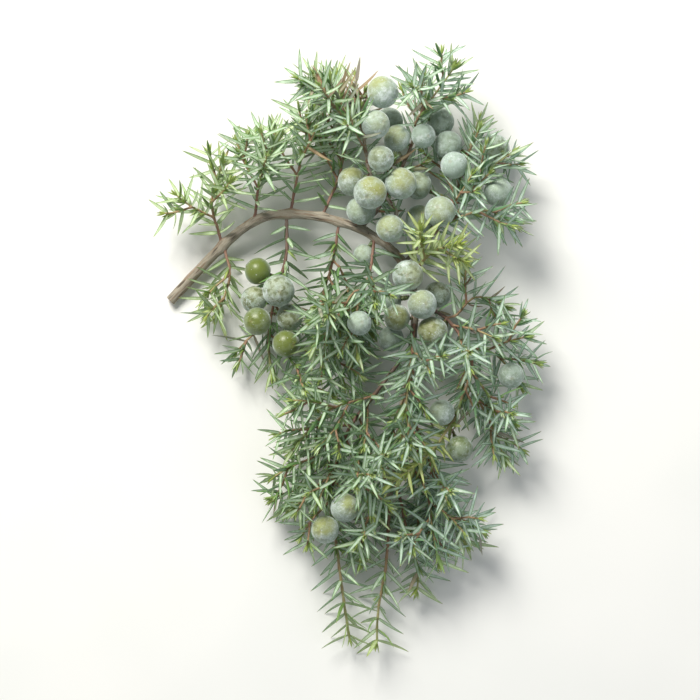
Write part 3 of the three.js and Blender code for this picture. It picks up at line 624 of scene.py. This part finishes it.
def woodyStem(finishes):
    shape, rng, sides = stemShape, seededFor("stem"), stemShape["sides"]
    line, radius, at = smoothLine(*readStem(), shape["step"])
    way, side, across = carryFrames(line)
    turn = turns(sides)
    out = side[:, None] * np.cos(turn)[None, :, None] + across[:, None] * np.sin(turn)[None, :, None]
    rise = stemRise(line, at, turn, out)
    surface = line[:, None] + out * (radius[:, None] * shape["girth"] + rise)[..., None]
    points = np.concatenate([surface.reshape(-1, 3), line[-1][None] + way[-1] * 0.2])
    around, grain = np.tile(turn, len(line)), shape["grain"]
    body = (points, tubeFaces(len(line), sides, None, len(points) - 1), 0, {
        "depth": np.append((rise / shape["furrow"]).ravel(), 0),
        "barkX": np.append(grain * np.cos(around), 0),
        "barkY": np.append(grain * np.sin(around), 0),
        "barkZ": np.append(np.repeat(at * shape["drawnOut"], sides), at[-1] * shape["drawnOut"]),
    })
    # the cut end: bark edge, then wood in three rings and its pith
    cut = [surface[0] * (1 - s) + line[0] * s - way[0] * d for s, d in reversed(shape["cut"])]
    points = np.concatenate([*cut, surface[0], line[0][None]])
    radial = np.append(np.repeat(shape["cutRadii"][:-1], sides), shape["cutRadii"][-1])
    cap = (points, tubeFaces(len(cut) + 1, sides, len(points) - 1, None), 1, {"radial": radial})
    strips = [barkStrip(line, radius, way, side, across, at, rng) for _ in range(shape["strips"])]
    buildPiece("stem_wood", [body, cap, *strips], finishes, "stem")


# A strip of bark: a thin closed ribbon that lies on the stem and lifts at one end.
def barkStrip(line, radius, way, side, across, at, rng):
    shape, rings, grain = stemShape, stemShape["stripRings"], stemShape["grain"]
    long = rng.uniform(*shape["stripLength"])
    wide = rng.uniform(*shape["stripWidth"])
    start = rng.uniform(1, at[-1] - long - 4)
    angle = rng.uniform(0, 2 * math.pi)
    lift = rng.uniform(*shape["stripLift"]) * (1 if rng.random() < 0.5 else -1)  # far end or near end
    points = []
    for s in np.linspace(0, 1, rings):
        n = min(int((start + s * long) / shape["step"]), len(line) - 1)
        a = angle + 0.25 * (s - 0.5)
        out = side[n] * math.cos(a) + across[n] * math.sin(a)
        beside = np.cross(way[n], out)
        free = s if lift > 0 else 1 - s
        height = radius[n] + 0.03 + abs(lift) * max(0, free - 0.45) ** 2 * 3
        half = wide / 2 * (0.35 + 0.65 * math.sin(math.pi * min(1, 0.12 + s * 0.9)))
        middle = line[n] + out * height
        points += [middle + beside * half, middle + out * 0.09, middle - beside * half, middle - out * 0.07]
    points = np.array(points)
    points = np.vstack([points, points[:4].mean(0), points[-4:].mean(0)])
    places = np.append(np.repeat(start + long * np.linspace(0, 1, rings), 4), [start, start + long])
    marks = {"depth": 1.2, "barkX": grain * math.cos(angle), "barkY": grain * math.sin(angle)}
    marks["barkZ"] = places * shape["drawnOut"]
    return points, tubeFaces(rings, 4, len(points) - 2, len(points) - 1), 0, marks


# Colours are sRGB hex, as picked on screen, turned linear here.
def colour(code):
    shares = [int(code[i:i + 2], 16) / 255 for i in (1, 3, 5)]
    return (*(s / 12.92 if s <= 0.04045 else ((s + 0.055) / 1.055) ** 2.4 for s in shares), 1.0)


# The nodes in use: type, settings, the sockets that the values go to in turn, and the output given back.
nodeKinds = {
    "place": ("TexCoord", {}, (), "Object"),
    "mark": ("Attribute", {}, (), "Fac"),
    "noise": ("TexNoise", {}, ("Vector", "Scale", "Detail", "Roughness"), "Fac"),
    "cells": ("TexVoronoi", {}, ("Vector", "Scale"), "Distance"),
    "point": ("CombineXYZ", {}, (0, 1, 2), 0),
    "math": ("Math", {}, (0, 1), 0),
    "times": ("Math", {"operation": "MULTIPLY"}, (0, 1), 0),
    "plus": ("Math", {"operation": "ADD"}, (0, 1), 0),
    "minus": ("Math", {"operation": "SUBTRACT"}, (0, 1), 0),
    "range": ("MapRange", {"interpolation_type": "SMOOTHSTEP"}, (0, 1, 2, 3, 4), 0),  # from two, to two
    "blend": ("Mix", {"data_type": "RGBA"}, (0, 6, 7), 2),  # share, first colour, second colour
    "ramp": ("ValToRGB", {}, ("Fac",), "Color"),
    "bump": ("Bump", {}, ("Height", "Distance"), 0),
    "surface": ("BsdfPrincipled", {}, (), 0),
    "output": ("OutputMaterial", {}, ("Surface",), "none"),
}


# Adds a node, sets it up, links it and gives back its output. A value is a number, a hex colour or an output.
def addNode(tree, kind, *values, sockets=None, stops=(), **settings):
    nodeType, usual, turn, output = nodeKinds[kind]
    node = tree.nodes.new("ShaderNode" + nodeType)
    for key, value in (usual | settings).items():
        setattr(node, key, value)
    for key, value in (dict(zip(turn, values)) | (sockets or {})).items():
        if isinstance(value, bpy.types.NodeSocket):
            tree.links.new(value, node.inputs[key])
        else:
            node.inputs[key].default_value = colour(value) if isinstance(value, str) else value
    for n, (place, code) in enumerate(stops):
        ramp = node.color_ramp.elements
        stop = ramp[0] if n == 0 else ramp[-1] if n == len(stops) - 1 else ramp.new(place)
        stop.position, stop.color = place, colour(code)
    return node.outputs[output] if output != "none" else None


def newFinish(name):
    finish = bpy.data.materials.new(name)
    finish.use_nodes = True
    finish.node_tree.nodes.clear()
    return finish, finish.node_tree


def finishOff(tree, sockets, relief, height):
    sockets["Normal"] = addNode(tree, "bump", relief, height * mm)
    addNode(tree, "output", addNode(tree, "surface", sockets=sockets))


# A pattern's scale, from the width of one of its patches in millimetres.
def scaleFor(patch):
    return 1 / (patch * mm)


# Juniper needle: a live leaf with a tough cuticle, so satin green below. The hollow upper side carries a dull
# band of pale wax, and the point is horny and tan.
needleSurface = {
    "green": "#6f954f", "blueGreen": "#739874", "shade": "#4b6e3f",
    "band": "#c6d9bb", "blueBand": "#cddfd5",
    "young": "#a3b35b", "youngBand": "#ccd79c",
    "point": "#a68c62", "foot": "#9fa877",
    "dead": "#76543c", "deadBand": "#957556", "weathered": "#8f877c",
    "waxPatch": 1.3,  # mm
    "pores": 0.22,  # mm; the real ones are 0.05 mm apart, too fine to show, so they are drawn coarser
    "relief": 0.02,  # mm
    "roughness": (0.4, 0.66),  # of bare skin and of wax
}


def juniperNeedle():
    finish, tree = newFinish("juniperNeedle")
    c, where = needleSurface, addNode(tree, "place")
    keys = ("along", "band", "tint", "blue", "young", "dry")
    along, band, tint, blue, young, dry = (addNode(tree, "mark", attribute_name=key) for key in keys)
    green = addNode(tree, "blend", blue, c["green"], c["blueGreen"])
    green = addNode(tree, "blend", addNode(tree, "range", tint, 0.0, 1.0, 0.55, 0.0), green, c["shade"])
    green = addNode(tree, "blend", young, green, c["young"])
    wax = addNode(tree, "blend", blue, c["band"], c["blueBand"])
    wax = addNode(tree, "blend", young, wax, c["youngBand"])
    # the wax is uneven, leaves the margins green and stops short of the point
    patch = addNode(tree, "noise", where, scaleFor(c["waxPatch"]), 3.0, 0.55)
    patch = addNode(tree, "range", patch, 0.35, 0.7, 0.6, 0.95)
    middle = addNode(tree, "range", band, 0.3, 0.85, 0.0, 1.0)
    cover = addNode(tree, "times", middle, patch)
    upTo = addNode(tree, "range", along, 0.7, 0.97, 1.0, 0.0)
    cover = addNode(tree, "times", cover, upTo)
    face = addNode(tree, "blend", cover, green, wax)
    dead = addNode(tree, "blend", band, c["dead"], c["deadBand"])
    dead = addNode(tree, "blend", addNode(tree, "range", tint, 0.45, 0.75, 0.0, 1.0), dead, c["weathered"])
    face = addNode(tree, "blend", dry, face, dead)
    face = addNode(tree, "blend", addNode(tree, "range", along, 0.0, 0.09, 0.7, 0.0), face, c["foot"])
    face = addNode(tree, "blend", addNode(tree, "range", along, 0.9, 1.0, 0.0, 0.85), face, c["point"])
    pores = addNode(tree, "noise", where, scaleFor(c["pores"]), 2.0, 0.55)
    finishOff(tree, {
        "Base Color": face,
        "Roughness": addNode(tree, "range", cover, 0.0, 1.0, *c["roughness"]),
        "IOR": 1.45,
        "Subsurface Weight": 0.12,
        "Subsurface Radius": (0.5, 1.0, 0.3),
        "Subsurface Scale": 0.5 * mm,
    }, pores, c["relief"])
    return finish


# Twig skin: young bark, green at the growing end, then tan and red-brown. It is smooth with a faint gloss,
# and where it fruits its outer skin dries to a pale grey scurf.
twigSurface = {
    "ages": [(0.0, "#a5ae70"), (0.25, "#a08a63"), (0.5, "#8c6756"), (0.75, "#78594c"), (1.0, "#6d6158")],
    "fleck": "#5a4338", "scurf": "#a59c8e",
    "streakWidth": 0.5,  # mm
    "fleckWidth": 0.3,
    "scurfWidth": 0.6,
    "relief": 0.05,
    "roughness": 0.58,
}


def twigSkin():
    finish, tree = newFinish("twigSkin")
    c, where = twigSurface, addNode(tree, "place")
    age, scurf = (addNode(tree, "mark", attribute_name=key) for key in ("age", "scurf"))
    streak = addNode(tree, "noise", where, scaleFor(c["streakWidth"]), 4.0, 0.55)
    uneven = addNode(tree, "range", streak, 0.2, 0.8, -0.12, 0.12)
    face = addNode(tree, "ramp", addNode(tree, "plus", age, uneven), stops=c["ages"])
    fleck = addNode(tree, "noise", where, scaleFor(c["fleckWidth"]), 3.0, 0.55)
    face = addNode(tree, "blend", addNode(tree, "range", fleck, 0.55, 0.75, 0.0, 0.5), face, c["fleck"])
    flakes = addNode(tree, "noise", where, scaleFor(c["scurfWidth"]), 3.0, 0.55)
    flakes = addNode(tree, "range", flakes, 0.35, 0.55, 0.0, 1.0)
    scurf = addNode(tree, "times", scurf, flakes)
    face = addNode(tree, "blend", scurf, face, c["scurf"])
    finishOff(tree, {"Base Color": face, "Roughness": c["roughness"], "IOR": 1.45}, streak, c["relief"])
    return finish


# Juniper bark: grey weathered fibre over red-brown inner bark, dull, torn into long strips, with painted
# shade in its furrows and between its fibres.
barkSurface = {
    # furrow is the colour of the painted shade in the furrows and between the fibres
    "grey": "#8f8676", "pale": "#aea695", "furrow": "#433a2f", "inner": "#81644a",
    "fibreWidth": 0.32,  # mm; real fibres are 0.1 mm wide, too fine to show, so they are drawn coarser
    "patchWidth": 1.3,  # mm, where the inner bark shows
    "relief": 0.16,
    "roughness": 0.86,
}


def fibrousBark():
    finish, tree = newFinish("fibrousBark")
    c, keys = barkSurface, ("barkX", "barkY", "barkZ", "depth")
    *place, depth = (addNode(tree, "mark", attribute_name=key) for key in keys)
    where = addNode(tree, "point", *place)  # in mm, drawn out along the stem
    fibre = addNode(tree, "noise", where, 1 / c["fibreWidth"], 5.0, 0.65)
    patch = addNode(tree, "noise", where, 1 / c["patchWidth"], 3.0, 0.5)
    face = addNode(tree, "blend", addNode(tree, "range", fibre, 0.35, 0.68, 0.0, 1.0), c["grey"], c["pale"])
    face = addNode(tree, "blend", addNode(tree, "range", patch, 0.52, 0.66, 0.0, 0.6), face, c["inner"])
    # painted shade: darker where the furrows are deep and in the grooves between the fibres
    face = addNode(tree, "blend", addNode(tree, "range", depth, -0.1, -0.7, 0.0, 0.85), face, c["furrow"])
    face = addNode(tree, "blend", addNode(tree, "range", fibre, 0.36, 0.28, 0.0, 0.8), face, c["furrow"])
    finishOff(tree, {"Base Color": face, "Roughness": c["roughness"], "IOR": 1.5}, fibre, c["relief"])
    return finish


# Fresh cut wood: cream sapwood in fine yearly rings round a reddish heart, dull from the blade.
woodSurface = {
    "heart": "#b98560", "sapwood": "#dcc9a2", "ring": "#a98358", "bark": "#6b4a38",
    "rings": 44.0,  # radians to the rim, which makes 7 years of growth
    "wander": 0.8,  # mm, from one bend in a ring to the next
    "grain": 0.15,  # mm
    "relief": 0.04,
    "roughness": 0.8,
}


def cutWood():
    finish, tree = newFinish("cutWood")
    c, where = woodSurface, addNode(tree, "place")
    wander = addNode(tree, "noise", where, scaleFor(c["wander"]), 3.0, 0.55)
    wander = addNode(tree, "range", wander, 0.2, 0.8, -0.03, 0.03)
    radial = addNode(tree, "mark", attribute_name="radial")
    radial = addNode(tree, "plus", radial, wander)
    rings = addNode(tree, "times", radial, c["rings"])
    rings = addNode(tree, "range", addNode(tree, "math", rings, operation="SINE"), 0.2, 1.0, 0.0, 0.45)
    heart = addNode(tree, "range", radial, 0.2, 0.5, 0.0, 1.0)
    face = addNode(tree, "blend", rings, addNode(tree, "blend", heart, c["heart"], c["sapwood"]), c["ring"])
    face = addNode(tree, "blend", addNode(tree, "range", radial, 0.86, 0.93, 0.0, 1.0), face, c["bark"])
    grain = addNode(tree, "noise", where, scaleFor(c["grain"]), 3.0, 0.55)
    finishOff(tree, {"Base Color": face, "Roughness": c["roughness"], "IOR": 1.5}, grain, c["relief"])
    return finish


# Juniper berry: a tight glossy skin under a film of wax. The film is dull and pale, and where it is rubbed
# thin the green or olive skin shows through, with small dark pores.
# Painted light: the side facing the lamp gets a buff tint, and bloom heaped on the rims away from it is a
# painted pale sheen.
berrySurface = {
    "skin": "#66755a", "brownSkin": "#6f6b44", "olive": "#647222",
    "wax": "#a9bcb0", "waxWarm": "#a7b264", "waxTan": "#a8a373",
    "dust": "#dae4e2", "pore": "#5c5a41", "lip": "#8d8159", "sheen": "#dfebea",
    "litPatch": 3.0,  # mm, patches of the painted buff light on the lit side
    "rubPatch": 1.5,
    "dustPatch": 2.4,
    "ridgeGap": 1.7,  # between ridges of thick bloom
    "poreGap": 0.8,
    "speckGap": 1.3,
    "waxGrain": 0.35,  # real grains are 0.02 mm wide, too fine to show, so they are drawn coarser
    "relief": 0.035,
    "mostWax": 0.94,
    "leastWax": 0.04,
    "roughness": (0.34, 0.74),  # of bare skin and of wax
}


def waxedBerry():
    finish, tree = newFinish("waxedBerry")
    c, where = berrySurface, addNode(tree, "place")
    keys = ("olive", "warm", "mottle", "polar", "litShare")
    olive, warm, mottle, polar, litSide = (addNode(tree, "mark", attribute_name=key) for key in keys)
    # painted light: a buff tint in patches on the side that faces the lamp
    litShare = addNode(tree, "noise", where, scaleFor(c["litPatch"]), 3.0, 0.55)
    litShare = addNode(tree, "range", litShare, 0.3, 0.55, 0.55, 1.0)
    litShare = addNode(tree, "times", litSide, litShare)
    skin = addNode(tree, "blend", warm, c["skin"], c["brownSkin"])
    skin = addNode(tree, "blend", olive, skin, c["olive"])
    buff = addNode(tree, "blend", mottle, c["waxWarm"], c["waxTan"])
    wax = addNode(tree, "blend", addNode(tree, "times", warm, litShare), c["wax"], buff)
    # how much of the wax is left
    rubbed = addNode(tree, "noise", where, scaleFor(c["rubPatch"]), 5.0, 0.62)
    rubbed = addNode(tree, "range", rubbed, 0.44, 0.62, 0.0, 1.0)
    rubbed = addNode(tree, "times", rubbed, mottle)
    bare = addNode(tree, "times", olive, 0.85)
    cover = addNode(tree, "minus", c["mostWax"], rubbed)
    cover = addNode(tree, "minus", cover, bare)
    cover = addNode(tree, "math", cover, c["leastWax"], operation="MAXIMUM")
    face = addNode(tree, "blend", cover, skin, wax)
    # bloom lies thick in patches; it is kept off the lit side, so it paints a pale sheen on the rims away
    # from the lamp
    dusty = addNode(tree, "noise", where, scaleFor(c["dustPatch"]), 6.0, 0.7)
    dusty = addNode(tree, "range", dusty, 0.48, 0.66, 0.0, 0.85)
    kept = addNode(tree, "math", olive, litShare, operation="MAXIMUM")
    kept = addNode(tree, "minus", 1.0, kept)
    dusty = addNode(tree, "times", dusty, kept)
    face = addNode(tree, "blend", dusty, face, c["dust"])
    # and in fine ridges, thicker on the side away from the lamp as painted sheen
    ridge = addNode(tree, "noise", where, scaleFor(c["ridgeGap"]), 4.0, 0.6)
    ridge = addNode(tree, "minus", ridge, 0.5)
    ridge = addNode(tree, "math", ridge, operation="ABSOLUTE")
    ridge = addNode(tree, "range", ridge, 0.035, 0.008, 0.0, 0.5)
    waxed = addNode(tree, "range", cover, 0.2, 0.8, 0.0, 1.0)
    ridge = addNode(tree, "times", ridge, waxed)
    shaded = addNode(tree, "range", litSide, 0.3, 1.0, 1.0, 0.35)
    ridge = addNode(tree, "times", ridge, shaded)
    face = addNode(tree, "blend", ridge, face, c["dust"])
    # pores, specks of bloom and the brown lips of the seam
    pores = addNode(tree, "cells", where, scaleFor(c["poreGap"]))
    pores = addNode(tree, "range", pores, 0.16, 0.07, 0.0, 1.0)
    face = addNode(tree, "blend", addNode(tree, "times", pores, 0.5), face, c["pore"])
    specks = addNode(tree, "cells", where, scaleFor(c["speckGap"]))
    face = addNode(tree, "blend", addNode(tree, "range", specks, 0.15, 0.06, 0.0, 0.8), face, c["dust"])
    face = addNode(tree, "blend", addNode(tree, "range", polar, 0.93, 0.98, 0.0, 0.3), face, c["lip"])
    grain = addNode(tree, "noise", where, scaleFor(c["waxGrain"]), 4.0, 0.55)
    thick = addNode(tree, "times", cover, 0.6)
    finishOff(tree, {
        "Base Color": face,
        "Roughness": addNode(tree, "range", cover, 0.1, 0.9, *c["roughness"]),
        "IOR": 1.46,
        "Sheen Weight": 1.0,
        "Sheen Roughness": 0.4,
        "Sheen Tint": c["sheen"],
        "Subsurface Weight": 0.08,
        "Subsurface Radius": (0.8, 1.0, 0.5),
        "Subsurface Scale": 0.8 * mm,
    }, addNode(tree, "plus", grain, thick), c["relief"])
    return finish


# Painted board: matt white lacquer with the faint unevenness of a roller.
boardSurface = {
    "white": "#f1f1ee", "shade": "#ecedea",
    "cloud": 60,  # mm
    "stipple": 1.5,
    "relief": 0.01,
    "roughness": 0.7,
}


def paleBoard():
    finish, tree = newFinish("paleBoard")
    c, where = boardSurface, addNode(tree, "place")
    cloud = addNode(tree, "noise", where, scaleFor(c["cloud"]), 2.0, 0.55)
    face = addNode(tree, "blend", addNode(tree, "range", cloud, 0.3, 0.7, 0.0, 1.0), c["shade"], c["white"])
    stipple = addNode(tree, "noise", where, scaleFor(c["stipple"]), 3.0, 0.55)
    finishOff(tree, {"Base Color": face, "Roughness": c["roughness"], "IOR": 1.45}, stipple, c["relief"])
    return finish


needleFinish, twigFinish, berryFinish = juniperNeedle(), twigSkin(), waxedBerry()
woodyStem([fibrousBark(), cutWood()])
print("grew the woody stem")
for name in shootNames:
    leafyShoot(name, [needleFinish, twigFinish])
print("grew the leafy shoots")
for name in berryNames:
    ripeBerry(name, [berryFinish, twigFinish, needleFinish])
print("grew the berries")

# The table, the lamps and the camera.
studio = {
    "tableSize": 6.0,  # m
    "distance": 0.85,  # m, from the camera to the sprig
    "elevation": 86.0,  # degrees above the table
    "aim": (0, 0, 0.012),  # m
    "frameHeight": 0.196,  # m, what the camera takes in
    "sky": ("#eef2f6", 0.32),  # colour and strength
    "lamps": {  # where it stands, what it points at, its size in metres, watts and colour
        "keyLamp": ((-0.26, 0.5, 0.56), (0, 0, 0.01), 0.36, 8.6, "#fffcf5"),
        "fillLamp": ((0.6, -0.35, 0.5), (0, 0, 0.01), 0.8, 1.4, "#f2f6ff"),
    },
}
board = bpy.data.meshes.new("table")
half = studio["tableSize"] / 2
corners = [(-half, -half, 0), (half, -half, 0), (half, half, 0), (-half, half, 0)]
board.from_pydata(corners, [], [(0, 1, 2, 3)])
board.materials.append(paleBoard())
table = bpy.data.objects.new("table", board)
bpy.context.scene.collection.objects.link(table)

for name, (place, target, size, watts, tone) in studio["lamps"].items():
    lamp = bpy.data.lights.new(name, "AREA")
    lamp.shape, lamp.size, lamp.energy, lamp.color = "DISK", size, watts, colour(tone)[:3]
    stand = bpy.data.objects.new(name, lamp)
    stand.location = place
    stand.rotation_euler = (Vector(target) - Vector(place)).to_track_quat("-Z", "Y").to_euler()
    bpy.context.scene.collection.objects.link(stand)

world = bpy.data.worlds.new("studio")
world.use_nodes = True
sky = world.node_tree.nodes["Background"].inputs
sky["Color"].default_value, sky["Strength"].default_value = colour(studio["sky"][0]), studio["sky"][1]
bpy.context.scene.world = world
bpy.context.scene.view_settings.view_transform = "Standard"

lens = bpy.data.cameras.new("camera")
lens.lens = lens.sensor_width / 2 / (studio["frameHeight"] / 2 / studio["distance"])
lens.clip_start, lens.clip_end = 0.01, 20
camera = bpy.data.objects.new("camera", lens)
tilt = math.radians(studio["elevation"])
back = Vector((0, -math.cos(tilt), math.sin(tilt)))
camera.location = Vector(studio["aim"]) + back * studio["distance"]
camera.rotation_euler = (-back).to_track_quat("-Z", "Y").to_euler()
bpy.context.scene.collection.objects.link(camera)
bpy.context.scene.camera = camera
print("set up the table, the lamps and the camera")
